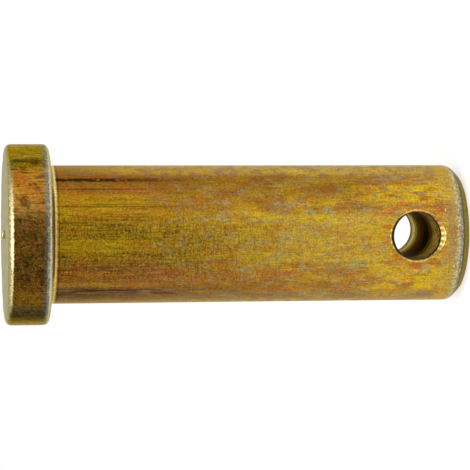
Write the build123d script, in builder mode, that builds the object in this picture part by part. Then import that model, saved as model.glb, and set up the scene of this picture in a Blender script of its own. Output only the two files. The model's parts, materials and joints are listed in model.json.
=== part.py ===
"""Clevis pin: one piece turned from round bar, with a flat head, a straight shank, an eased tip
and a cross hole near the tip that takes a cotter.

The pin stands on its tip. The origin is the centre of the tip's end face, +Z runs up the shank
to the head, and the cross hole runs along Y. All sizes are in millimetres.
"""

import os

from build123d import *

os.makedirs("parts", exist_ok=True)

# Shank and head
shank_dia = 14.0
under_head_length = 42.4  # from the tip's end face to the seat under the head
head_dia = 18.3
head_thickness = 4.4
head_rim_radius = 0.6  # rounding of the head's front and back rims
root_radius = 0.4  # fillet where the shank meets the seat

# Tip: a 45 degree chamfer whose two edges are blended away
tip_chamfer = 1.1
tip_blend_radius = 1.1

# Nub left at the centre of the head where the pin was parted off the bar
pip_dia = 0.8
pip_height = 0.35
pip_rounding = 0.15

# Cotter hole, with a countersunk mouth on both sides of the shank
hole_dia = 4.8
hole_to_tip = 5.65  # from the tip's end face to the hole's axis
mouth_width = 0.6  # how far the countersink opens beyond the hole at the shank's crest
mouth_angle = 90  # included angle of the countersink

shank_radius = shank_dia / 2
head_radius = head_dia / 2
pip_radius = pip_dia / 2
head_top = under_head_length + head_thickness
pip_top = head_top + pip_height

with BuildPart() as clevis_pin:
    # Half profile of the turned blank, from the tip's centre out and up to the pip
    with BuildSketch(Plane.XZ) as profile:
        with BuildLine():
            Polyline(
                (0, 0),
                (shank_radius - tip_chamfer, 0),
                (shank_radius, tip_chamfer),
                (shank_radius, under_head_length),
                (head_radius, under_head_length),
                (head_radius, head_top),
                (pip_radius, head_top),
                (pip_radius, pip_top),
                (0, pip_top),
                close=True,
            )
        make_face()
        rims = profile.vertices().group_by(Axis.X)[-1]
        fillet(rims, radius=head_rim_radius)
        root = profile.vertices().filter_by_position(Axis.Y, under_head_length, under_head_length)
        fillet(root.sort_by(Axis.X)[0], radius=root_radius)
        tip_edges = profile.vertices().filter_by_position(Axis.Y, 0, tip_chamfer)
        fillet(tip_edges.sort_by(Axis.X)[1:], radius=tip_blend_radius)
        pip_edge = profile.vertices().group_by(Axis.Y)[-1].sort_by(Axis.X)[-1]
        fillet(pip_edge, radius=pip_rounding)
    revolve(axis=Axis.Z)

    # The hole is opened from both sides, so each mouth gets its own countersink
    for side in (-1, 1):
        mouth = Plane(origin=(0, side * shank_radius, hole_to_tip), x_dir=(1, 0, 0), z_dir=(0, side, 0))
        with Locations(mouth):
            CounterSinkHole(
                radius=hole_dia / 2,
                counter_sink_radius=hole_dia / 2 + mouth_width,
                depth=shank_dia,
                counter_sink_angle=mouth_angle,
            )

clevis_pin.part.label = "clevis_pin"
export_step(clevis_pin.part, "parts/clevis_pin.step")
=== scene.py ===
"""Clevis pin turned from steel bar, zinc plated and yellow chromated, on a white studio sweep.

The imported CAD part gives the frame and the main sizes. One finely divided mesh stands for it here:
the turned blank with its eased rims, the cross hole with its countersunk mouths, and the small
knocks that such a pin gets in the plating barrel. The pin stands on its tip at the origin, +Z runs
up the shank to the head, and the cross hole runs along Y. Shapes are in metres. The chromate film's
patterns and layers are in millimetres, and in degrees from -Y towards +X round the pin.
"""

import json
import math

import bpy
import numpy as np
from bpy.props import FloatProperty, FloatVectorProperty, IntProperty, PointerProperty
from mathutils import Matrix, Vector


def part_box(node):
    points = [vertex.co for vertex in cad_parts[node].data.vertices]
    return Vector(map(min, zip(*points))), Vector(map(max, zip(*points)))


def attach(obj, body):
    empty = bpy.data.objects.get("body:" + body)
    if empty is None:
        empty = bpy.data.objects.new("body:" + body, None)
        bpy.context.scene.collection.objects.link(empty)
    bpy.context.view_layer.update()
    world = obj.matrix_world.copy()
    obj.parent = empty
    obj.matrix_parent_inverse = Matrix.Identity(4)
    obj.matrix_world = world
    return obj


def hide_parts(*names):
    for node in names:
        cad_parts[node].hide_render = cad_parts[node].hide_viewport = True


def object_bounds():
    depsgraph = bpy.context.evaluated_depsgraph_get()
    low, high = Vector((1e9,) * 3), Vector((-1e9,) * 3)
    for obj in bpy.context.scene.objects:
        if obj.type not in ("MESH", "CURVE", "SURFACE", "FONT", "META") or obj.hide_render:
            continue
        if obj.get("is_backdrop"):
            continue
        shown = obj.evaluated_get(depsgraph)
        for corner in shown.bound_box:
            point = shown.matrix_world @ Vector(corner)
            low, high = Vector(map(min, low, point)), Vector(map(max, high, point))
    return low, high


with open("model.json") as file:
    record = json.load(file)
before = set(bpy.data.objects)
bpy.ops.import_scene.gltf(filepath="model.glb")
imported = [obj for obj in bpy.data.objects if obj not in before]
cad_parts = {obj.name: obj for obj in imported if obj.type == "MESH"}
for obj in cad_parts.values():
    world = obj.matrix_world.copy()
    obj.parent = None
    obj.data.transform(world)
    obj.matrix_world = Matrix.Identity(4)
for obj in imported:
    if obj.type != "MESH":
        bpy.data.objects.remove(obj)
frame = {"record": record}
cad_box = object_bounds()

bl_info = {
    "name": "Clevis pin",
    "version": (1, 0, 0),
    "blender": (4, 5, 0),
    "location": "3D View > Sidebar > Clevis pin",
    "description": "Builds a yellow zinc plated clevis pin, its finish and a studio stage",
    "category": "Add Mesh",
}

MM = 0.001
PIN = "clevis_pin"
mounts = {mount["name"]: mount for mount in frame["record"]["mounts"]}
SHANK_RADIUS = mounts["shank"]["dims"]["r_mm"] * MM
HOLE_RADIUS = mounts["cotter_hole"]["dims"]["r_mm"] * MM
HOLE_HEIGHT = mounts["cotter_hole"]["pos_m"][2]
SEAT_HEIGHT = mounts["head_seat"]["pos_m"][2]
HEAD_RADIUS = (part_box(PIN)[1].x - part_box(PIN)[0].x) / 2
PIN_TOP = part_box(PIN)[1].z

# The mesh is divided finely enough for small dents, and has a window round each mouth
COLUMNS = 240  # faces round the pin
WINDOW_COLUMNS = 22  # faces from the hole's axis to the edge of its window in the shank
WINDOW_HALF_HEIGHT = 4.0 * MM
WINDOW_ROWS = 2 * WINDOW_COLUMNS
WINDOW_RINGS = 9  # from the window's edge to the mouth
BORE_RINGS = 16  # from the mouth to the middle of the bore
ARC_STEP = math.radians(11)  # about the turn between two rings of a rounding
SUPPORT = 0.04 * MM  # from a rounding to the ring that keeps the flat beside it flat to the eye
AXIS_RING = 0.05 * MM  # radius of the smallest ring, round the pin's axis
PIP_ROUNDING = 0.15 * MM
LIP_ROUNDING = 0.07 * MM  # of the edge between the shank and the countersink
BORE_ROUNDING = 0.05 * MM  # of the edge between the countersink and the bore
FLUTES = 29  # flats left round each mouth by the chattering countersink
KNOCKS_ON_HEAD = 0.25  # share of the shallow knocks that fall on the head
KNOCK_WIDTHS = (0.25, 0.8)  # mm
KNOCK_LENGTHS = (1.0, 2.5)  # times the width
DINGS = (  # degrees round the pin, mm above the tip, size in mm
    (-27, 1.75, 0.3),
    (22, 2.75, 0.3),
    (-118, 1.9, 0.3),
    (164, 2.4, 0.35),
)

FINISHES = {  # zone of the pin: its material
    "shank": "yellow_zinc_plate_turned_shank",
    "head": "yellow_zinc_plate_turned_head",
    "head_face": "yellow_zinc_plate_faced_end",
    "mouth": "yellow_zinc_plate_countersunk_mouth",
    "bore": "yellow_zinc_plate_drilled_bore",
}


def linear(hex_colour):
    """Turn an sRGB hex colour such as "c79a32" into linear red, green, blue and alpha."""
    channels = [int(hex_colour[i : i + 2], 16) / 255 for i in (0, 2, 4)]
    return [c / 12.92 if c <= 0.04045 else ((c + 0.055) / 1.055) ** 2.4 for c in channels] + [1.0]


def length_setting(name, millimetres, description):
    """A length setting."""
    return FloatProperty(name=name, description=description, default=millimetres * MM, unit="LENGTH")


def angle_setting(name, degrees, description):
    """An angle setting."""
    default = math.radians(degrees)
    return FloatProperty(name=name, description=description, default=default, subtype="ANGLE")


def tone_setting(name, hex_colour, description):
    """A colour setting whose default is an sRGB hex colour."""
    tone = linear(hex_colour)[:3]
    return FloatVectorProperty(name=name, description=description, default=tone, subtype="COLOR")


class PinShape(bpy.types.PropertyGroup):
    """Sizes of the turned blank and its cross hole that the record's mounts do not give.

    They are the CAD part's own, except that its mouths are 0.16 mm wider at the shank's crest.
    """

    head_rim: length_setting("Head rim", 0.6, "Rounding of the head's front and back rims")
    root: length_setting("Root", 0.4, "Fillet where the shank meets the seat")
    tip_chamfer: length_setting("Tip chamfer", 1.1, "45 degree chamfer at the tip")
    tip_blend: length_setting("Tip blend", 1.1, "Rounding of the chamfer's two edges")
    pip_radius: length_setting("Pip radius", 0.4, "Nub left where the pin was parted off")
    pip_height: length_setting("Pip height", 0.35, "How far the nub stands off the head")
    mouth_width: length_setting("Mouth width", 0.44, "How far the countersink opens the hole")


class SurfaceWear(bpy.types.PropertyGroup):
    """Knocks and tool marks that are part of the surface."""

    seed: IntProperty(name="Seed", description="Sets where the knocks fall", default=7)
    knocks: IntProperty(name="Knocks", description="Shallow dents over the whole pin", default=90)
    knock_depth: length_setting("Knock depth", 0.03, "Depth of the deepest of the shallow dents")
    ding_depth: length_setting("Ding depth", 0.07, "Depth of the small sharp dings near the tip's edge")
    rim_waver: length_setting("Rim waver", 0.035, "How far the eased rims stray from true")
    chatter: length_setting("Chatter", 0.03, "Ripple that the countersink left in the mouth")


class FilmColours(bpy.types.PropertyGroup):
    """Tones of the yellow chromate film, which change with its thickness, and of the worn zinc; some
    also paint light and shade.
    """

    gold: tone_setting("Gold", "ac8416", "Film of the usual thickness")
    straw: tone_setting("Straw", "c4a038", "Thin clear film, towards the tip")
    lemon: tone_setting("Lemon", "dcb41c", "The clearest yellow, in pools near the hole")
    olive: tone_setting("Olive", "988228", "Green-gold film at the sides")
    tan: tone_setting("Tan", "a87c36", "Pale brown film with a dull skin")
    amber: tone_setting("Amber", "98661f", "Brown-gold film where it drained slowly")
    copper: tone_setting("Copper", "b47628", "Orange film in thick runs")
    bronze: tone_setting("Bronze", "85601c", "Dark film on the head")
    rust: tone_setting("Rust", "b45c20", "Orange-red clouds in the film")
    mauve: tone_setting("Mauve", "8a625c", "Purple spots where the film is thickest")
    veil: tone_setting("Veil", "a09c70", "Grey-green bloom that dried on the film")
    # slate also paints the floor's reflection on the back rim, and shade on the side from -68 to -45
    # degrees
    slate: tone_setting("Slate", "66706c", "Blue-grey film round the eased edges")
    # moss also paints the shade in the middle of the bore, and part of a dark line on the tip's chamfer
    moss: tone_setting("Moss", "38360a", "Dark green specks between turning lines")
    # umber also paints shade in the corner under the head, round the nub and at the bore's edges, and
    # dark reflection lines
    umber: tone_setting("Umber", "2c1806", "Darkest brown, in drain lines and corners")
    # zinc also paints the floor's reflection on the back rim and part of the front rim's highlight
    zinc: tone_setting("Zinc", "dcd8c4", "Bare zinc where an edge is rubbed")
    # cream also paints highlights: on the front rim, the nub, the mouths' lips and flats, the root
    # fillet, and light near both mouths in the bore
    cream: tone_setting("Cream", "f4dc94", "Polished edge with hardly any film left")


class StageSettings(bpy.types.PropertyGroup):
    """The white floor and the camera."""

    camera_distance: length_setting("Camera distance", 216.3, "From the pin's axis to the lens")
    camera_height_angle: angle_setting("Camera elevation", 8.78, "Angle of the view above the horizon")
    camera_turn: angle_setting("Camera turn", 3.001, "Angle between the view and the cross hole")
    camera_roll: angle_setting("Camera roll", -90.33, "Lays the pin on its side in the picture")
    floor_radius: length_setting("Floor radius", 300, "Radius of the white floor")


def rounded_profile(corners):
    """Ring radii and heights of a half profile.

    Each corner is (radius, height, rounding, ring spacing up to the next corner). Rounded corners
    become arcs, with a ring close to each end so that the flats beside them stay flat to the eye.
    """
    points = [np.array(corner[:2]) for corner in corners]
    pieces = []
    for i, (_, _, rounding, _) in enumerate(corners):
        if rounding == 0 or i in (0, len(corners) - 1):
            pieces.append([points[i]])
            continue
        back = points[i - 1] - points[i]
        ahead = points[i + 1] - points[i]
        back = back / np.linalg.norm(back)
        ahead = ahead / np.linalg.norm(ahead)
        half_angle = math.acos(np.clip(np.dot(back, ahead), -1, 1)) / 2
        bisector = (back + ahead) / np.linalg.norm(back + ahead)
        centre = points[i] + bisector * rounding / math.sin(half_angle)
        start = points[i] + back * rounding / math.tan(half_angle) - centre
        end = points[i] + ahead * rounding / math.tan(half_angle) - centre
        sweep = math.pi - 2 * half_angle
        steps = max(4, round(sweep / ARC_STEP))
        arc = []
        for t in np.linspace(0, 1, steps + 1):
            weight = math.sin((1 - t) * sweep), math.sin(t * sweep)
            arc.append(centre + (start * weight[0] + end * weight[1]) / math.sin(sweep))
        pieces.append(arc)
    rings = list(pieces[0])
    for corner, piece, next_piece in zip(corners, pieces, pieces[1:]):
        start, end = piece[-1], next_piece[0]
        length = np.linalg.norm(end - start)
        if length >= 3 * SUPPORT:
            margin = (end - start) * SUPPORT / length
            inner_start = start + margin * (len(piece) > 1)
            inner_end = end - margin * (len(next_piece) > 1)
            count = max(1, round(np.linalg.norm(inner_end - inner_start) / corner[3]))
            for t in np.linspace(0, 1, count + 1):
                point = inner_start + (inner_end - inner_start) * t
                if min(np.linalg.norm(point - start), np.linalg.norm(point - end)) > 1e-9:
                    rings.append(point)
        rings.extend(next_piece)
    return np.array(rings)


def mouth_radius(angle, shape):
    """Radius of the countersink's edge on the shank, seen along the hole, for an angle round it.

    The countersink is widest at the shank's crest, and never narrower than its edge's rounding.
    """
    edge_depth = SHANK_RADIUS - shape.mouth_width
    radius = HOLE_RADIUS + shape.mouth_width
    for _ in range(30):  # settles well before that
        depth = math.sqrt(SHANK_RADIUS**2 - (radius * math.cos(angle)) ** 2)
        radius = HOLE_RADIUS + max(depth - edge_depth, LIP_ROUNDING)
    return radius


def on_shank(flat):
    """Points on the shank for unrolled positions round the hole."""
    angle = flat[:, 0] / SHANK_RADIUS
    return np.column_stack([SHANK_RADIUS * np.sin(angle), SHANK_RADIUS * np.cos(angle), flat[:, 1]])


def eased_edge(start, corner, end, t):
    """Points on the curve from start to end that rounds a corner."""
    return (1 - t) ** 2 * start + 2 * t * (1 - t) * corner + t * t * end


def hole_rings(shape, wear):
    """Rings of points from the window's edge in the shank, over the mouth, into the bore's middle.

    Each ring is an array of (x, distance from the pin's axis plane along Y, z) for one side. The
    list of names says what each band of faces between two rings belongs to.
    """
    half_width = WINDOW_COLUMNS * 2 * math.pi / COLUMNS * SHANK_RADIUS
    across = np.linspace(-1, 1, 2 * WINDOW_COLUMNS + 1)
    up = np.linspace(-1, 1, WINDOW_ROWS + 1)
    edge = [(s, -1.0) for s in across[:-1]]
    edge += [(1.0, t) for t in up[:-1]]
    edge += [(s, 1.0) for s in across[::-1][:-1]]
    edge += [(-1.0, t) for t in up[::-1][:-1]]
    edge = np.array(edge)
    window = np.column_stack([edge[:, 0] * half_width, edge[:, 1] * WINDOW_HALF_HEIGHT])

    count = len(edge)
    turn = -3 * math.pi / 4 + np.arange(count) * 2 * math.pi / count
    mouth = np.array([mouth_radius(a, shape) for a in turn])
    flat_x = mouth * np.cos(turn)
    lip = np.column_stack([np.arcsin(flat_x / SHANK_RADIUS) * SHANK_RADIUS, mouth * np.sin(turn)])
    outward = lip / np.linalg.norm(lip, axis=1)[:, None]
    lip_start = lip + outward * LIP_ROUNDING

    rings = []
    names = []
    for t in np.linspace(0, 1, WINDOW_RINGS):
        eased = t * (1.5 - 0.5 * t)  # closer together near the mouth
        rings.append(on_shank(window + (lip_start - window) * eased))
        names.append("shank")
    lip_ring = rings[-1]
    corner = on_shank(lip)
    bore_depth = np.minimum(SHANK_RADIUS - shape.mouth_width, corner[:, 1] - BORE_ROUNDING)
    bore = np.column_stack([HOLE_RADIUS * np.cos(turn), bore_depth, HOLE_RADIUS * np.sin(turn)])
    slope = bore - corner
    slope_length = np.linalg.norm(slope, axis=1)[:, None]
    # Where the countersink is narrow, the two roundings take no more than a third of it each
    cone_start = corner + slope * np.minimum(LIP_ROUNDING / slope_length, 0.35)
    cone_end = bore - slope * np.minimum(BORE_ROUNDING / slope_length, 0.3)
    bore_start = bore - np.array([0, BORE_ROUNDING, 0])
    for t in (0.25, 0.5, 0.75, 1.0):
        rings.append(eased_edge(lip_ring, corner, cone_start, t))
        names.append("mouth")
    chatter = wear.chatter * np.sin(FLUTES * turn)
    radial = np.column_stack([np.cos(turn), np.zeros(count), np.sin(turn)])
    for t in (0.2, 0.4, 0.6, 0.8, 1.0):
        ripple = radial * (chatter * math.sin(math.pi * min(1.0, 1.6 * t)))[:, None]
        rings.append(cone_start + (cone_end - cone_start) * t + ripple)
        names.append("mouth")
    for t in (0.33, 0.67, 1.0):
        rings.append(eased_edge(cone_end, bore, bore_start, t))
        names.append("bore")
    for t in np.linspace(0, 1, BORE_RINGS + 1)[1:]:
        rings.append(bore_start * np.array([1, 1 - t, 1]))
        names.append("bore")
    for ring in rings:
        ring[:, 2] += HOLE_HEIGHT
    return rings, names[1:]


def turned_pin(shape, wear):
    """Vertices, faces and the name of each face's zone for the whole pin."""
    head_top = PIN_TOP - shape.pip_height
    chamfer = SHANK_RADIUS - shape.tip_chamfer
    window_low = HOLE_HEIGHT - WINDOW_HALF_HEIGHT
    window_high = HOLE_HEIGHT + WINDOW_HALF_HEIGHT
    corners = [
        (AXIS_RING, 0, 0, 0.45 * MM),
        (chamfer, 0, shape.tip_blend, 0.3 * MM),
        (SHANK_RADIUS, shape.tip_chamfer, shape.tip_blend, 0.3 * MM),
        (SHANK_RADIUS, window_low, 0, WINDOW_HALF_HEIGHT * 2 / WINDOW_ROWS),
        (SHANK_RADIUS, window_high, 0, 0.25 * MM),
        (SHANK_RADIUS, SEAT_HEIGHT, shape.root, 0.25 * MM),
        (HEAD_RADIUS, SEAT_HEIGHT, shape.head_rim, 0.2 * MM),
        (HEAD_RADIUS, head_top, shape.head_rim, 0.3 * MM),
        (shape.pip_radius, head_top, 0, 0.1 * MM),
        (shape.pip_radius, PIN_TOP, PIP_ROUNDING, 0.06 * MM),
        (AXIS_RING, PIN_TOP, 0, 0.1 * MM),
    ]
    rings = rounded_profile(corners)
    rows = len(rings)
    angles = np.arange(COLUMNS) * 2 * math.pi / COLUMNS
    # Column 0 faces -Y, and the columns run towards +X
    around = [
        np.outer(rings[:, 0], np.sin(angles)),
        -np.outer(rings[:, 0], np.cos(angles)),
        np.repeat(rings[:, 1:], COLUMNS, axis=1),
    ]
    vertices = [np.stack(around, axis=2).reshape(-1, 3)]
    total = rows * COLUMNS
    faces = []
    zones = []

    first_row = int(np.argmin(np.abs(rings[:, 1] - window_low) + (rings[:, 0] < SHANK_RADIUS - 1e-6)))
    last_row = first_row + WINDOW_ROWS
    for row in range(rows - 1):
        radius, height = (rings[row] + rings[row + 1]) / 2
        zone = "head"
        # Most of the fillet belongs to the shank
        if height < SEAT_HEIGHT - 0.05 * MM and radius < SHANK_RADIUS + 0.3 * MM:
            zone = "shank"
        elif height > head_top - 1e-6 and radius < HEAD_RADIUS - shape.head_rim:
            zone = "head_face"
        for column in range(COLUMNS):
            from_front = min(column, COLUMNS - 1 - column)
            from_back = abs(column + 0.5 - COLUMNS / 2) - 0.5
            if first_row <= row < last_row and min(from_front, from_back) < WINDOW_COLUMNS:
                continue
            beside = (column + 1) % COLUMNS
            low, high = row * COLUMNS, (row + 1) * COLUMNS
            faces.append((low + column, low + beside, high + beside, high + column))
            zones.append(zone)
    for row, centre in ((0, (0, 0, 0)), (rows - 1, (0, 0, PIN_TOP))):
        vertices.append(np.array([centre]))
        for column in range(COLUMNS):
            ends = (row * COLUMNS + column, row * COLUMNS + (column + 1) % COLUMNS)
            faces.append((total, ends[1], ends[0]) if row == 0 else (total, ends[0], ends[1]))
            zones.append("shank" if row == 0 else "head_face")
        total += 1

    # Window edge points in the order of hole_rings, as (column offset from the hole's axis, row)
    steps = range(-WINDOW_COLUMNS, WINDOW_COLUMNS)
    edge = [(i, first_row) for i in steps]
    edge += [(WINDOW_COLUMNS, first_row + i + WINDOW_COLUMNS) for i in steps]
    edge += [(-i, last_row) for i in steps]
    edge += [(-WINDOW_COLUMNS, last_row - i - WINDOW_COLUMNS) for i in steps]
    count = len(edge)
    ring_set, names = hole_rings(shape, wear)
    middle = None  # the ring half-way down the bore, which the two sides share
    for side in (-1, 1):
        axis_column = 0 if side < 0 else COLUMNS // 2
        previous = [row * COLUMNS + (axis_column - side * i) % COLUMNS for i, row in edge]
        for ring, name in zip(ring_set[1:], names):
            if ring is ring_set[-1] and middle is not None:
                current = middle
            else:
                current = list(range(total, total + count))
                vertices.append(ring * np.array([1, side, 1]))
                total += count
            for k in range(count):
                n = (k + 1) % count
                quad = (previous[k], previous[n], current[n], current[k])
                faces.append(quad if side < 0 else quad[::-1])
                zones.append(name)
            previous = current
        middle = previous
    return np.vstack(vertices), faces, zones


def surface_normals(vertices, faces):
    """Area-weighted normals of the vertices."""
    mesh = bpy.data.meshes.new("normals")
    mesh.from_pydata(vertices.tolist(), [], faces)
    mesh.update()
    normals = np.zeros(len(vertices) * 3)
    mesh.vertex_normals.foreach_get("vector", normals)
    bpy.data.meshes.remove(mesh)
    return normals.reshape(-1, 3)


def wear_surface(vertices, normals, shape, wear):
    """Move the vertices along their normals: shallow knocks, dings near the tip, wavering rims."""
    random = np.random.default_rng(wear.seed)
    depth = np.zeros(len(vertices))
    head_top = PIN_TOP - shape.pip_height
    x, y, z = vertices.T
    radius = np.hypot(x, y)
    angle = np.arctan2(x, -y)
    for _ in range(wear.knocks):
        turn = random.uniform(-math.pi, math.pi)
        on_head = random.random() < KNOCKS_ON_HEAD
        low, high = (SEAT_HEIGHT + 0.3 * MM, head_top) if on_head else (0, SEAT_HEIGHT)
        height = random.uniform(low, high)
        at_radius = HEAD_RADIUS if on_head else SHANK_RADIUS
        size = random.uniform(*KNOCK_WIDTHS) * MM
        long = random.uniform(*KNOCK_LENGTHS)
        around = np.angle(np.exp(1j * (angle - turn))) * at_radius
        off = np.hypot(around / size, (z - height) / (size * long))
        off += np.abs(radius - at_radius) / (1.5 * MM)
        hit = np.clip(1 - off**2, 0, None) ** 2
        depth += hit * wear.knock_depth * random.uniform(0.2, 1.0)

    on_head_rim = radius > HEAD_RADIUS - 1.1 * MM
    on_tip = radius > SHANK_RADIUS - 1.6 * MM
    rims = (  # where, height and reach of the rim, phases and numbers of its slow waves round the pin
        (on_head_rim, head_top, 0.5 * MM, (0.4, 1.9, 2.7, 4.0), (7, 13, 19, 31)),
        (on_head_rim, SEAT_HEIGHT, 0.5 * MM, (1.4, 0.3, 5.1, 2.2), (5, 11, 23, 37)),
        (on_tip, 0.5 * MM, 0.6 * MM, (2.4, 3.3, 0.7, 1.2), (6, 14, 21, 33)),
    )
    for on_rim, height, reach, phases, waves in rims:
        rim = on_rim * np.exp(-(((z - height) / reach) ** 2))
        waver = sum(math.cos(p) * np.sin(w * angle + p) for p, w in zip(phases, waves)) / 2
        depth += rim * wear.rim_waver * (1 + waver) / 2
    for turn, height, size in DINGS:
        around = np.angle(np.exp(1j * (angle - math.radians(turn)))) * SHANK_RADIUS
        off = np.hypot(around, z - height * MM) / (size * MM)
        depth += on_tip * wear.ding_depth * np.clip(1 - off**2, 0, None)
    # The hole and the end of the tip stay true
    in_hole = (np.hypot(x, z - HOLE_HEIGHT) < HOLE_RADIUS + 0.1 * MM) & (np.abs(y) < SHANK_RADIUS)
    depth[in_hole] = 0
    depth[z < 1e-7] = 0
    return vertices - normals * depth[:, None]


def add_object(name, data):
    """Put an object with this data in the scene."""
    thing = bpy.data.objects.new(name, data)
    bpy.context.scene.collection.objects.link(thing)
    return thing


class CLEVIS_OT_turn_pin(bpy.types.Operator):
    """Build the pin's body with its head, eased tip, countersunk cross hole and knocks"""

    bl_idname = "clevis.turn_pin"
    bl_label = "Turn the pin"

    def execute(self, context):
        shape = context.scene.clevis_shape
        wear = context.scene.clevis_wear
        vertices, faces, zones = turned_pin(shape, wear)
        normals = surface_normals(vertices, faces)
        vertices = wear_surface(vertices, normals, shape, wear)
        mesh = bpy.data.meshes.new("turned_clevis_pin")
        mesh.from_pydata(vertices.tolist(), [], faces)
        for name in FINISHES.values():
            mesh.materials.append(bpy.data.materials.new(name))
        order = list(FINISHES)
        mesh.polygons.foreach_set("material_index", [order.index(zone) for zone in zones])
        mesh.polygons.foreach_set("use_smooth", [True] * len(faces))
        mesh.update()
        if mesh.validate():
            raise RuntimeError("the pin's mesh has faces that do not hold")
        pin = add_object("turned_clevis_pin", mesh)
        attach(pin, "root")
        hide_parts(PIN)
        return {"FINISHED"}


def bare_nodes(owner):
    """The emptied node tree of a material or world."""
    owner.use_nodes = True
    owner.node_tree.nodes.clear()
    return owner.node_tree


def put(tree, kind, sockets=None, stops=None, **settings):
    """Add a shader node, with its settings, the values or links of its sockets and ramp stops."""
    node = tree.nodes.new("ShaderNode" + kind)
    for name, value in settings.items():
        setattr(node, name, value)
    for key, value in (sockets or {}).items():
        if isinstance(key, int):
            socket = node.inputs[key]
        else:
            socket = next(s for s in node.inputs if s.enabled and s.name == key)
        if isinstance(value, bpy.types.Node):
            value = next(s for s in value.outputs if s.enabled)
        if isinstance(value, bpy.types.NodeSocket):
            tree.links.new(value, socket)
        else:
            socket.default_value = value
    if stops:
        elements = node.color_ramp.elements
        while len(elements) < len(stops):
            elements.new(0.5)
        for element, (position, colour) in zip(elements, stops):
            element.position = position
            element.color = colour
    return node


# Tones of the chromate film round the pin, at degrees from -Y towards +X
SHANK_HEAD_END = {
    -180: "gold",
    -140: "amber",
    -105: "gold",
    -75: "olive",
    -60: "tan",
    -46: "copper",
    -26: "copper",
    -17: "gold",
    33: "gold",
    39: "amber",
    62: "amber",
    74: "olive",
    105: "bronze",
    140: "gold",
    180: "gold",
}
SHANK_TIP_END = {
    -180: "straw",
    -140: "tan",
    -105: "straw",
    -75: "olive",
    -55: "tan",
    -32: "tan",
    -20: "straw",
    18: "straw",
    26: "tan",
    45: "amber",
    58: "tan",
    72: "olive",
    105: "tan",
    140: "straw",
    180: "straw",
}
# On the head, the bronze in front, from -18 to 8 degrees, is dark film and partly a painted dark
# reflection of the room in front
HEAD_BARREL = {
    -180: "bronze",
    -140: "gold",
    -105: "bronze",
    -64: "olive",
    -54: "bronze",
    -46: "gold",
    -30: "amber",
    -18: "bronze",
    8: "bronze",
    18: "tan",
    31: "copper",
    50: "gold",
    60: "olive",
    75: "olive",
    105: "amber",
    140: "bronze",
    180: "bronze",
}
# Tones of the film down the hole, at mm from the pin's axis along Y. They also paint its light and
# shade: cream light near both mouths, dark moss shade in the middle, and umber shade at the front
# mouth's edge
BORE_TONES = {
    -7: "umber",
    -6.3: "umber",
    -6.0: "cream",
    -3.9: "cream",
    -2.8: "veil",
    -2.2: "olive",
    -1.7: "moss",
    0.2: "moss",
    2.0: "olive",
    4.2: "veil",
    5.0: "cream",
    5.7: "veil",
    7: "tan",
}
# One tone all over, for the layers to change
FACE_TONES = {0: "veil", 1: "veil"}
MOUTH_TONES = {0: "lemon", 1: "lemon"}

# Patterns of the film: size in mm across and along the pin. The streaks run the way the dip drained.
# The film's own grain is about 0.02 mm and is drawn coarser here, so that it shows.
PATTERNS = {
    "drift": (0.5, 9.0),
    "reach": (0.9, 6.0),
    "ragged": (0.3, 0.3),
    "cloud": (1.4, 2.0),
    "streak": (0.16, 1.6),
    "grain": (0.16, 0.2),
}
PATTERN_SHIFT = (3.1, 5.3, 7.9)  # in patches, from one pattern to the next, so that no two look alike
TURNING_LINES = (1.2, 0.12)  # mm across and along the pin; the real lines are finer too
FACING_FEED = 0.35  # mm between the rings left by facing the end; the real 0.1 mm would not show
TONE_DRIFT = 0.022  # how far the tones stray from their bands, as a share of all the bands
TIP_TONES_BEGIN = 35.0  # mm above the tip
TIP_TONES_FULL = 11.0
TIP_TONES_STRAY = 7.0  # how far these two heights stray, up and down
TINT_SWING = 0.013  # of the hue, in clouds
DEPTH_SWING = 0.58  # of the value, in streaks and grain
ROUGHNESS_SWING = 0.05
RELIEF_DISTANCE = 0.02 * MM
RELIEF_STRENGTH = 0.25


def layer(tone, share, patch=None, fade=None, ragged=0, **where):
    """One layer of the chromate film, for the lists below.

    It blends its share of a tone into what lies under it. A patchy one has the size of its patches
    in mm across and along the pin, and the noise levels at which they fade in. ragged is how far
    its borders stray, in the mm or degrees of the field. The rest says where it lies: for a field
    of chromate, the value where it begins and the value where it is full, and for a band also the
    values where it stops being full and where it ends.
    """
    return tone, share, patch, fade, ragged, where


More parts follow.
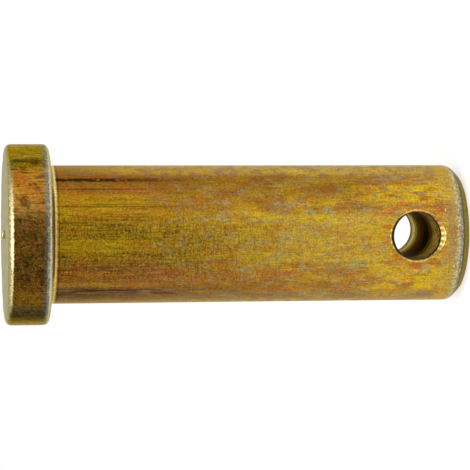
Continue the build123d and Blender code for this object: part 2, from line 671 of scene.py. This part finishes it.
SHANK_LAYERS = (
    # orange and red clouds all over, and thicker ones each side of the middle
    layer("rust", 0.42, (1.1, 3.0), (0.50, 0.68)),
    layer("rust", 0.4, (0.5, 1.2), (0.56, 0.70)),
    layer("rust", 0.5, (0.5, 3.2), (0.48, 0.60), ragged=0.8, height=(22, 34), turn=(-52, -46, -24, -14)),
    layer("mauve", 0.5, (0.24, 0.9), (0.52, 0.62), height=(22, 34), turn=(-52, -46, -26, -16)),
    layer(
        "rust", 0.45, (0.6, 4.0), (0.46, 0.58), ragged=0.8,
        height=(10, 20, 31, 39), turn=(28, 38, 58, 66),
    ),
    # deeper shoulders each side of the middle, and paler flanks
    layer("amber", 0.6, ragged=0.8, height=(7, 13, 26, 36), turn=(15, 24, 56, 64)),
    layer("amber", 0.45, ragged=0.8, height=(7, 15, 26, 32), turn=(-56, -50, -44, -36)),
    layer("slate", 0.25, ragged=0.8, height=(36, 26), turn=(-104, -92, -60, -52)),
    layer("straw", 0.5, ragged=0.8, height=(40, 30), turn=(-112, -96, -72, -64)),
    layer("straw", 0.85, ragged=0.8, height=(42, 32), turn=(56, 66, 96, 112)),
    layer("veil", 0.3, ragged=0.8, height=(32, 22), turn=(60, 72, 96, 112)),
    layer("veil", 0.15, ragged=0.8, height=(18, 12), turn=(-112, -96, -66, -52)),
    # clear yellow towards the tip, in pools each side of the hole
    layer("lemon", 0.42, (1.6, 3.6), (0.46, 0.64), height=(34, 18)),
    layer(
        "lemon", 0.75, (1.0, 2.4), (0.37, 0.50), ragged=0.8,
        height=(2.2, 3.2, 8, 13), turn=(24, 32, 43, 52),
    ),
    layer(
        "lemon", 0.8, (1.1, 2.6), (0.38, 0.51), ragged=0.8,
        height=(2.2, 3.2, 7, 12), turn=(-56, -48, -30, -23),
    ),
    # grey veil and mauve spots away from the head, and a bronze run over them
    layer("veil", 0.5, (0.9, 1.5), (0.50, 0.66), height=(36, 26)),
    layer("slate", 0.3, (1.2, 1.0), (0.56, 0.66), height=(38, 28)),
    layer("mauve", 0.4, (0.35, 0.8), (0.55, 0.70), height=(40, 30)),
    layer("bronze", 0.4, ragged=0.8, height=(7, 13, 26, 36), turn=(28, 38, 56, 64)),
    # dark green specks and streaks near the head, and turning lines
    layer("moss", 0.65, (0.2, 0.24), (0.53, 0.62), height=(16, 32), turn=(-50, -20, 6, 22)),
    layer("moss", 0.36, TURNING_LINES, (0.50, 0.60), height=(14, 30), turn=(-54, -42, 8, 24)),
    layer("moss", 0.6, (0.14, 5.0), (0.52, 0.60), height=(26, 37), turn=(-48, -30, 24, 40)),
    layer("bronze", 0.25, TURNING_LINES, (0.48, 0.66)),
    # dark and pale lines along the shank, from the head towards the middle; the dark ones are painted
    # dark reflections, deepening the dips that the grey cards give
    layer(
        "umber", 0.92, (0.3, 0.5), (0.32, 0.46), ragged=0.35,
        turn=(50.6, 52.0, 54.8, 56.4), height=(26, 38),
    ),
    layer("umber", 0.45, ragged=0.3, turn=(41.4, 42.2, 42.8, 43.6), height=(28, 38)),
    layer("moss", 0.6, ragged=0.3, turn=(25.2, 25.8, 26.2, 26.8), height=(26, 36)),
    layer("straw", 0.45, ragged=0.4, turn=(-46, -44.5, -42, -40), height=(28, 38)),
    layer("lemon", 0.35, ragged=0.4, turn=(-13, -10, -3, 0), height=(30, 38)),
    # painted shade on the side from -68 to -46 degrees
    layer("slate", 0.3, ragged=0.4, turn=(-68, -58, -48.3, -46.1), height=(22, 36)),
    layer("umber", 0.75, (0.2, 3.0), (0.47, 0.55), turn=(-64, -54, -48.3, -46.1), height=(20, 36)),
    # pale specks between the turning lines, near the head, and a few bright ones all over
    layer("straw", 0.5, (0.22, 0.2), (0.54, 0.64), height=(16, 32), turn=(-58, -30, 12, 30)),
    layer("cream", 0.6, (0.2, 0.2), (0.67, 0.73)),
    # mauve flecks on the flanks
    layer("mauve", 0.5, (1.3, 1.0), (0.49, 0.58), ragged=0.6, turn=(54, 60, 92, 108)),
    layer("mauve", 0.45, (1.4, 0.8), (0.50, 0.58), ragged=0.6, turn=(-108, -92, -60, -52)),
    # burnt orange round the hole's mouths, and a painted highlight along their rounded lip
    layer("rust", 0.65, (0.9, 1.3), (0.44, 0.60), ragged=0.5, hole=(4.8, 3.2)),
    layer("cream", 0.5, ragged=0.05, hole=(2.74, 2.62)),
    # root fillet: a painted highlight, peach in front and straw at the sides, with a brown line each
    # side of it; the line towards the head, darkest in front, is painted shade in the corner
    layer("umber", 0.5, ragged=0.02, seat=(-0.74, -0.69, -0.63, -0.58)),
    layer("cream", 0.85, ragged=0.02, seat=(-0.52, -0.45)),
    layer("rust", 0.4, seat=(-0.52, -0.45), turn=(-24, -12, 24, 40)),
    layer("lemon", 0.5, seat=(-0.52, -0.45), turn=(-14, -26)),
    layer("olive", 0.8, seat=(-0.30, -0.25)),
    layer("umber", 0.75, seat=(-0.30, -0.25), turn=(-40, -28, 34, 46)),
    # edge of the tip: a dull skin and flecks of bare zinc where it is worn, then slate, a dark line and
    # olive on the chamfer, partly film and partly a painted reflection of the floor in the pin's shadow
    layer("tan", 0.6, ragged=0.3, height=(3.0, 2.2)),
    layer("veil", 0.2, ragged=0.3, height=(3.4, 2.6)),
    layer("straw", 0.7, ragged=0.5, height=(3.6, 2.6), turn=(24, 34)),
    layer("straw", 0.7, ragged=0.5, height=(3.6, 2.6), turn=(-18, -28)),
    layer("veil", 0.55, (0.5, 0.5), (0.42, 0.58), ragged=0.2, height=(2.4, 1.6)),
    layer("zinc", 0.6, (0.24, 0.24), (0.46, 0.58), ragged=0.1, height=(1.02, 1.14, 1.42, 1.78)),
    layer("slate", 0.75, ragged=0.14, height=(1.32, 1.18)),
    layer("zinc", 0.4, (0.3, 0.2), (0.50, 0.58), height=(0.9, 1.0, 1.2, 1.3)),
    layer("moss", 0.6, ragged=0.06, height=(0.96, 0.88)),
    layer("olive", 0.75, ragged=0.06, height=(0.80, 0.68)),
    # the dings near the tip went through the film
    *(
        layer(
            "cream",
            0.65,
            turn=(turn - 6 * size, turn - 2 * size, turn + 2 * size, turn + 6 * size),
            height=(height - 0.4 * size, height - 0.1 * size, height + 0.1 * size, height + 0.4 * size),
        )
        for turn, height, size in DINGS
    ),
)
HEAD_LAYERS = (
    # dark brown, red and tan blotches, and streaks along the pin
    layer("umber", 0.6, (0.8, 0.9), (0.50, 0.66)),
    layer("tan", 0.5, (0.3, 0.4), (0.56, 0.66)),
    layer("copper", 0.6, (0.5, 0.9), (0.54, 0.68)),
    layer("mauve", 0.3, (0.4, 0.5), (0.56, 0.66)),
    layer("moss", 0.5, (0.5, 0.6), (0.52, 0.62), turn=(26, 12)),
    layer("tan", 0.6, (0.45, 0.35), (0.55, 0.62), turn=(26, 12)),
    layer("umber", 0.5, (0.2, 1.8), (0.52, 0.64)),
    layer("lemon", 0.4, (0.17, 1.4), (0.54, 0.66), turn=(16, 30)),
    layer("rust", 0.35, (0.7, 0.7), (0.56, 0.68)),
    # a dark line along the barrel, partly film and partly a painted dark reflection, a red stain, and
    # slate streaks that also paint shade on the side from -66 to -45 degrees
    layer("umber", 0.55, ragged=0.5, turn=(53, 55, 56.5, 58.5), seat=(1.0, 1.6)),
    layer("rust", 0.5, ragged=0.5, turn=(33, 37, 43, 46), seat=(2.3, 3.0)),
    layer("slate", 0.45, (0.22, 1.2), (0.36, 0.56), ragged=0.8, turn=(-66, -58, -50, -45)),
    # eased rims, worn to the pale zinc in places; the slate and zinc bands on the back rim also paint
    # the floor's reflection, and the cream on the front rim is a painted highlight
    layer("slate", 0.7, ragged=0.25, seat=(1.1, 0.5)),
    layer("veil", 0.5, (0.4, 0.4), (0.46, 0.60), seat=(1.0, 0.6)),
    layer("zinc", 0.65, ragged=0.06, seat=(0.42, 0.28)),
    layer("olive", 0.3, seat=(0.34, 0.22)),
    layer("olive", 0.6, ragged=0.1, seat=(3.74, 3.94)),
    layer("moss", 0.35, ragged=0.1, seat=(3.92, 3.98, 4.06, 4.12), turn=(28, 36)),
    layer("veil", 0.85, ragged=0.05, seat=(4.12, 4.25)),
    # painted highlight on the front rim, over the front of the pin only
    layer("cream", 0.9, ragged=0.14, seat=(3.84, 3.93, 4.14, 4.30), turn=(-18, -12, 24, 42)),
    layer("cream", 0.8, ragged=0.14, seat=(3.88, 3.97, 4.06, 4.16), turn=(-64, -42, -16, -10)),
    layer("zinc", 0.3, ragged=0.14, seat=(3.86, 3.97, 4.10, 4.30), turn=(-70, -46, 30, 60)),
)
FACE_LAYERS = (
    # grey-green bloom with pale patches, and the nub where the pin was parted off, with a painted shadow
    # round its foot and a painted highlight on it
    layer("olive", 0.25, (1.5, 1.5), (0.42, 0.62)),
    layer("zinc", 0.45, (0.9, 0.9), (0.38, 0.66)),
    layer("zinc", 0.15),
    layer("mauve", 0.2, (0.7, 0.7), (0.50, 0.60)),
    layer("umber", 0.8, radius=(0.52, 0.46)),
    layer("cream", 0.95, seat=(4.46, 4.50, 4.68, 4.72)),
)
MOUTH_LAYERS = (
    # painted highlights in the flats that the chattering tool cut, duller on the ridges between them
    layer("veil", 0.4),
    layer("cream", 0.95, flute=(-0.1, 0.5)),
    layer("olive", 0.4, flute=(-0.5, -0.9)),
    # browner at its outer edge towards the tip, and on one side
    layer("bronze", 0.7, hole=(2.87, 2.95), height=(5.4, 4.8)),
    layer("copper", 0.7, ragged=0.1, side=(0.6, 1.1, 1.2, 1.5)),
    layer("amber", 0.7, ragged=0.1, side=(1.1, 1.6)),
    layer("olive", 0.7, ragged=0.1, side=(-1.1, -1.5)),
    # painted shade at the bore's edge, and a painted dark reflection over the side of the mouth towards
    # the head
    layer("umber", 0.9, hole=(2.46, 2.41)),
    layer("umber", 0.75, height=(5.0, 6.5), hole=(2.74, 2.66)),
)
BORE_LAYERS = (
    # blotches near the front mouth, and dark rings round the bore that paint shade deep in the hole, the
    # last at the far mouth's edge
    layer("mauve", 0.45, (0.9, 0.9), (0.48, 0.60), depth=(-2.4, -3.4)),
    layer("umber", 0.5, (0.5, 0.5), (0.52, 0.62), depth=(-1.8, -2.6)),
    layer("umber", 0.6, ragged=0.15, depth=(-3.0, -2.8, -2.5, -2.3)),
    layer("umber", 0.6, ragged=0.1, depth=(0.5, 1.0, 2.8, 3.2)),
    layer("umber", 0.5, ragged=0.1, depth=(3.0, 3.1, 3.4, 3.6)),
    layer("umber", 0.6, depth=(6.0, 6.1, 6.3, 6.4)),
)


def chromate(
    zone,
    film,
    tones,
    tip_tones=None,
    layers=(),
    along="turn",
    roughness=0.38,
    grain=1.0,
    facing_marks=0.0,
    edge_tint="ffffff",
):
    """Yellow chromate film over zinc plate on turned steel.

    The film is a thin coloured layer over bright metal, so the shader is a metal whose base colour
    is the film's. Its tones run in bands round the pin or into the hole, whichever field "along" names:
    where the film drained off the pin, and in places painted light and shade. The layers, some of which
    also paint highlights, reflections and shade, are laid over it in order. "grain" and "facing_marks"
    say how strongly the film's grain and the rings left by facing show.
    """
    tree = bare_nodes(bpy.data.materials[FINISHES[zone]])
    place = put(tree, "TexCoord").outputs["Object"]
    place = put(tree, "VectorMath", {0: place, 1: (1 / MM, 1 / MM, 1 / MM)}, operation="MULTIPLY")
    x, y, z = put(tree, "SeparateXYZ", {"Vector": place}).outputs
    flat = put(tree, "CombineXYZ", {"X": x, "Y": y})
    above_hole = put(tree, "Math", {0: z, 1: HOLE_HEIGHT / MM}, operation="SUBTRACT")
    beside_hole = put(tree, "CombineXYZ", {"X": x, "Y": above_hole})
    front = put(tree, "Math", {0: y, 1: -1.0}, operation="MULTIPLY")
    turn = put(tree, "Math", {0: x, 1: front}, operation="ARCTAN2")
    flute = put(tree, "Math", {0: above_hole, 1: x}, operation="ARCTAN2")
    flute = put(tree, "Math", {0: flute, 1: FLUTES}, operation="MULTIPLY")
    fields = {
        "height": z,  # above the tip
        "seat": put(tree, "Math", {0: z, 1: SEAT_HEIGHT / MM}, operation="SUBTRACT"),  # above the seat
        "depth": y,  # along the hole
        "side": x,
        "turn": put(tree, "Math", {0: turn, 1: math.degrees(1)}, operation="MULTIPLY"),
        "radius": put(tree, "VectorMath", {0: flat}, operation="LENGTH").outputs["Value"],
        "hole": put(tree, "VectorMath", {0: beside_hole}, operation="LENGTH").outputs["Value"],
        "flute": put(tree, "Math", {0: flute}, operation="SINE"),  # 1 in a flat
    }

    patches = [patch for _, _, patch, *_ in layers if patch]
    noises = {}
    for number, size in enumerate(dict.fromkeys([*PATTERNS.values(), *patches]), 1):
        moved = {"Vector": place, "Location": [number * shift for shift in PATTERN_SHIFT]}
        moved = put(tree, "Mapping", {**moved, "Scale": (1 / size[0], 1 / size[0], 1 / size[1])})
        noise = {"Vector": moved, "Scale": 1.0, "Detail": 3.0, "Roughness": 0.6}
        noises[size] = put(tree, "TexNoise", noise).outputs["Fac"]
    pattern = {name: noises[size] for name, size in PATTERNS.items()}

    # The tones stray from their bands in long streaks along the pin
    start, end = min(tones), max(tones)
    stray = {"Value": pattern["drift"], "From Min": 0.2, "From Max": 0.8}
    stray = put(tree, "MapRange", {**stray, "To Min": -TONE_DRIFT, "To Max": TONE_DRIFT})
    share = put(tree, "MapRange", {"Value": fields[along], "From Min": start, "From Max": end})
    share = put(tree, "Math", {0: share, 1: stray}, operation="ADD")
    ramps = []
    for bands in filter(None, (tones, tip_tones)):
        stops = [((at - start) / (end - start), film[tone]) for at, tone in bands.items()]
        ramps.append(put(tree, "ValToRGB", {"Fac": share}, stops=stops))
    colour = ramps[0]
    if tip_tones:
        reach = {0: pattern["reach"], 1: 2 * TIP_TONES_STRAY, 2: z}
        reach = put(tree, "Math", reach, operation="MULTIPLY_ADD")
        blend = {"Value": reach, "From Min": TIP_TONES_BEGIN + TIP_TONES_STRAY}
        blend = {**blend, "From Max": TIP_TONES_FULL + TIP_TONES_STRAY}
        blend = put(tree, "MapRange", blend, interpolation_type="SMOOTHSTEP")
        blend = {"Factor": blend, "A": colour, "B": ramps[1]}
        colour = put(tree, "Mix", blend, data_type="RGBA")

    strays = put(tree, "Math", {0: pattern["ragged"], 1: 0.5}, operation="SUBTRACT")
    for tone, amount, patch, fade, ragged, where in layers:
        if patch:
            patchy = {"Value": noises[patch], "From Min": fade[0], "From Max": fade[1], "To Max": amount}
            amount = put(tree, "MapRange", patchy, interpolation_type="SMOOTHSTEP")
        for field, stretch in where.items():
            value = fields[field]
            if ragged:
                strayed = {0: strays, 1: 4 * ragged, 2: value}
                value = put(tree, "Math", strayed, operation="MULTIPLY_ADD")
            # Its beginning, and the end of a band
            for outside, inside in filter(None, (stretch[:2], stretch[:1:-1])):
                border = {"Value": value, "From Min": outside, "From Max": inside}
                border = put(tree, "MapRange", border, interpolation_type="SMOOTHSTEP")
                amount = put(tree, "Math", {0: border, 1: amount}, operation="MULTIPLY")
        mixed = {"Factor": amount, "A": colour, "B": film[tone]}
        colour = put(tree, "Mix", mixed, data_type="RGBA")

    # Clouds vary the film's tint. Streaks and grain vary its depth, and stand a few micrometres proud
    tint = {"Value": pattern["cloud"], "From Min": 0.25, "From Max": 0.75}
    tint = put(tree, "MapRange", {**tint, "To Min": 0.5 - TINT_SWING, "To Max": 0.5 + TINT_SWING})
    relief = put(tree, "Math", {0: pattern["grain"], 1: 2.0}, operation="MULTIPLY")
    relief = put(tree, "Math", {0: pattern["streak"], 1: relief}, operation="ADD")
    if facing_marks:
        rings = {0: fields["radius"], 1: 2 * math.pi / FACING_FEED}
        rings = put(tree, "Math", rings, operation="MULTIPLY")
        rings = put(tree, "Math", {0: rings}, operation="SINE")
        relief = put(tree, "Math", {0: rings, 1: facing_marks, 2: relief}, operation="MULTIPLY_ADD")
    light = {"Value": relief, "From Min": 0.9, "From Max": 2.1}
    swing = DEPTH_SWING * grain
    light = put(tree, "MapRange", {**light, "To Min": 1 - swing, "To Max": 1 + swing})
    colour = put(tree, "HueSaturation", {"Hue": tint, "Value": light, "Color": colour})
    bump = {"Height": relief, "Strength": RELIEF_STRENGTH * grain, "Distance": RELIEF_DISTANCE}
    bump = put(tree, "Bump", bump)
    rough = {"Value": pattern["grain"], "From Min": 0.3, "From Max": 0.7}
    smoothest, roughest = roughness - ROUGHNESS_SWING, roughness + ROUGHNESS_SWING
    rough = put(tree, "MapRange", {**rough, "To Min": smoothest, "To Max": roughest})
    shader = {"Base Color": colour, "Metallic": 1.0, "Roughness": rough, "Normal": bump}
    shader = put(tree, "BsdfPrincipled", {**shader, "Specular Tint": linear(edge_tint)})
    put(tree, "OutputMaterial", {"Surface": shader})


class CLEVIS_OT_plate_pin(bpy.types.Operator):
    """Give the pin its yellow chromated zinc finish"""

    bl_idname = "clevis.plate_pin"
    bl_label = "Plate the pin"

    def execute(self, context):
        colours = context.scene.clevis_film
        film = {name: (*getattr(colours, name), 1.0) for name in FilmColours.__annotations__}
        # Turned shank: satin gold, streaked along the pin by the draining dip and by painted dark
        # reflection lines, and crossed by fine turning lines
        chromate("shank", film, SHANK_HEAD_END, SHANK_TIP_END, SHANK_LAYERS, edge_tint="f0e0c0")
        # Turned head: smoother and darker, blotched where the dip dried last
        chromate("head", film, HEAD_BARREL, None, HEAD_LAYERS, roughness=0.28, edge_tint="e0d4a8")
        # Faced end: pale grey-green in fine rings, bright at its rim with the head's painted highlight;
        # a painted highlight on the nub and painted shadow round it
        faced = {"roughness": 0.35, "facing_marks": 0.18, "edge_tint": "c8c0a0"}
        chromate("head_face", film, FACE_TONES, None, FACE_LAYERS, **faced)
        # Countersunk mouth: cut bright by the tool, so the film shines like brass, with painted
        # highlights in its facets, painted shade at the bore's edge and a painted dark reflection on the
        # head's side
        chromate("mouth", film, MOUTH_TONES, None, MOUTH_LAYERS, roughness=0.2, grain=0.4)
        # Drilled bore: rougher, with painted shade in its middle and painted light towards both mouths
        drilled = {"along": "depth", "roughness": 0.45, "edge_tint": "908050"}
        chromate("bore", film, BORE_TONES, None, BORE_LAYERS, **drilled)
        return {"FINISHED"}


# The studio, in metres
FLOOR_CORNERS = 96
PAPER_TONE = "d8d8d8"
PAPER_GLOW = 0.65  # added for the eye and for reflections, so that the paper reads as white
CARD_PANELS = 24
CARD_INSET = 0.002  # from the floor's edge
GREY_CARDS = (  # name, where it starts and ends in degrees from -Y towards +X, height, tone
    ("front_card", -68, 26, 0.10, "5a5a5a"),
    ("left_card", -104, -68, 0.12, "a0a0a0"),
    ("left_edge_card", -134, -104, 0.2, "606060"),
    ("right_edge_card", 97, 110, 0.2, "404040"),
)
LAMP_TURN = math.radians(-8)
LAMP_ELEVATION = math.radians(46)
LAMP_AIM_HEIGHT = 0.025
LAMP_DISTANCE = 0.45
LAMP_SIZE = (0.45, 0.35)
LAMP_POWER = 0.64  # W
SENSOR_WIDTH = 36.0  # mm
FOCAL_LENGTH = 161.46383  # mm
CAMERA_AIM_HEIGHT = 23.26 * MM
CAMERA_AIM_ASIDE = -0.15 * MM  # towards the right of a camera held level


def white_to_the_eye(tree):
    """1 for the rays that show a white studio to the eye, directly, in a reflection or through glass."""
    path = put(tree, "LightPath").outputs
    seen = {0: path["Is Camera Ray"], 1: path["Is Glossy Ray"]}
    seen = put(tree, "Math", seen, operation="MAXIMUM")
    return put(tree, "Math", {0: seen, 1: path["Is Transmission Ray"]}, operation="MAXIMUM")


def sheet(name, points, faces, material):
    """A piece of the stage made of flat faces."""
    mesh = bpy.data.meshes.new(name)
    mesh.from_pydata(points, [], faces)
    mesh.materials.append(material)
    thing = add_object(name, mesh)
    thing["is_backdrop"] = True
    return thing


def white_floor(radius):
    """White paper that reads as white to the eye and in reflections, and keeps a soft shadow."""
    material = bpy.data.materials.new("white_paper_sweep")
    tree = bare_nodes(material)
    lift = put(tree, "Math", {0: white_to_the_eye(tree), 1: PAPER_GLOW}, operation="MULTIPLY")
    paper = put(tree, "BsdfDiffuse", {"Color": linear(PAPER_TONE)})
    glow = put(tree, "Emission", {"Color": (1, 1, 1, 1), "Strength": lift})
    both = put(tree, "AddShader", {0: paper, 1: glow})
    put(tree, "OutputMaterial", {"Surface": both})
    turns = [i * 2 * math.pi / FLOOR_CORNERS for i in range(FLOOR_CORNERS)]
    edge = [(radius * math.sin(a), -radius * math.cos(a), 0) for a in turns]
    sheet("floor", edge, [list(range(FLOOR_CORNERS))], material)


def grey_card(name, first, last, height, tone, radius):
    """A curved card round the edge of the floor, seen only in the pin's reflections."""
    points = []
    for i in range(CARD_PANELS + 1):
        turn = math.radians(first + (last - first) * i / CARD_PANELS)
        foot = (radius * math.sin(turn), -radius * math.cos(turn))
        points += [(*foot, 0), (*foot, height)]
    quads = [(2 * i, 2 * i + 2, 2 * i + 3, 2 * i + 1) for i in range(CARD_PANELS)]
    material = bpy.data.materials.new(name)
    tree = bare_nodes(material)
    glow = put(tree, "Emission", {"Color": linear(tone)})
    put(tree, "OutputMaterial", {"Surface": glow})
    card = sheet(name, points, quads, material)
    card.visible_camera = False
    card.visible_diffuse = False
    card.visible_shadow = False
    card.visible_transmission = False


def white_room(world):
    """A plain white room, half as strong as a light as it shows to the eye and in reflections."""
    tree = bare_nodes(world)
    strength = put(tree, "MapRange", {"Value": white_to_the_eye(tree), "To Min": 0.5, "To Max": 1.0})
    room = put(tree, "Background", {"Color": (1, 1, 1, 1), "Strength": strength})
    put(tree, "OutputWorld", {"Surface": room})


def front_softbox():
    """A rectangular soft lamp in front of the pin and above it, aimed at its middle."""
    lamp = bpy.data.lights.new("front_softbox", "AREA")
    lamp.shape = "RECTANGLE"
    lamp.size, lamp.size_y = LAMP_SIZE
    lamp.energy = LAMP_POWER
    holder = add_object("front_softbox", lamp)
    level = math.cos(LAMP_ELEVATION)
    away = Vector((math.sin(LAMP_TURN) * level, -math.cos(LAMP_TURN) * level, math.sin(LAMP_ELEVATION)))
    holder.location = Vector((0, 0, LAMP_AIM_HEIGHT)) + away * LAMP_DISTANCE
    holder.rotation_euler = away.to_track_quat("Z", "Y").to_euler()
    holder.visible_camera = False


def studio_camera(stage):
    """The camera in front of the pin, rolled so that the pin lies on its side in the picture."""
    camera = bpy.data.cameras.new("camera")
    camera.sensor_width = SENSOR_WIDTH
    camera.lens = FOCAL_LENGTH
    camera.clip_start = 0.01
    camera.clip_end = 20.0
    turn, tilt, roll = -stage.camera_turn, stage.camera_height_angle, stage.camera_roll
    level = Vector((math.cos(turn), -math.sin(turn), 0))
    ahead = Vector((math.sin(turn), math.cos(turn), 0))
    forward = ahead * math.cos(tilt) - Vector((0, 0, math.sin(tilt)))
    above = level.cross(forward)
    right = level * math.cos(roll) + above * math.sin(roll)
    up = above * math.cos(roll) - level * math.sin(roll)
    aim = Vector((0, 0, CAMERA_AIM_HEIGHT)) + level * CAMERA_AIM_ASIDE
    eye = aim - forward * stage.camera_distance
    holder = add_object("camera", camera)
    holder.matrix_world = Matrix.Translation(eye) @ Matrix((right, up, -forward)).transposed().to_4x4()
    return holder


class CLEVIS_OT_set_stage(bpy.types.Operator):
    """Set the white floor, the grey cards, the soft lamp, the world and the camera"""

    bl_idname = "clevis.set_stage"
    bl_label = "Set the stage"

    def execute(self, context):
        scene = context.scene
        stage = scene.clevis_stage
        white_floor(stage.floor_radius)
        for card in GREY_CARDS:
            grey_card(*card, stage.floor_radius - CARD_INSET)
        scene.world = bpy.data.worlds.new("white_studio")
        white_room(scene.world)
        front_softbox()
        scene.camera = studio_camera(stage)
        scene.view_settings.view_transform = "Standard"
        return {"FINISHED"}


class CLEVIS_PT_panel(bpy.types.Panel):
    """Sidebar panel with the pin's operators and settings"""

    bl_idname = "CLEVIS_PT_panel"
    bl_label = "Clevis pin"
    bl_space_type = "VIEW_3D"
    bl_region_type = "UI"
    bl_category = "Clevis pin"

    def draw(self, context):
        for kind in (CLEVIS_OT_turn_pin, CLEVIS_OT_plate_pin, CLEVIS_OT_set_stage):
            self.layout.operator(kind.bl_idname)
        for name in SETTINGS:
            group = getattr(context.scene, name)
            box = self.layout.box()
            for key in group.__annotations__:
                box.prop(group, key)


SETTINGS = {
    "clevis_shape": PinShape,
    "clevis_wear": SurfaceWear,
    "clevis_film": FilmColours,
    "clevis_stage": StageSettings,
}
CLASSES = (
    PinShape,
    SurfaceWear,
    FilmColours,
    StageSettings,
    CLEVIS_OT_turn_pin,
    CLEVIS_OT_plate_pin,
    CLEVIS_OT_set_stage,
    CLEVIS_PT_panel,
)


def register():
    for kind in CLASSES:
        bpy.utils.register_class(kind)
    for name, group in SETTINGS.items():
        setattr(bpy.types.Scene, name, PointerProperty(type=group))


def unregister():
    for name in SETTINGS:
        delattr(bpy.types.Scene, name)
    for kind in reversed(CLASSES):
        bpy.utils.unregister_class(kind)


def main():
    register()
    bpy.ops.clevis.turn_pin()
    bpy.ops.clevis.plate_pin()
    bpy.ops.clevis.set_stage()
    boxes = {"cad": cad_box, "visual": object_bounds()}
    boxes = {name: [list(corner) for corner in box] for name, box in boxes.items()}


if __name__ == "__main__":
    main()
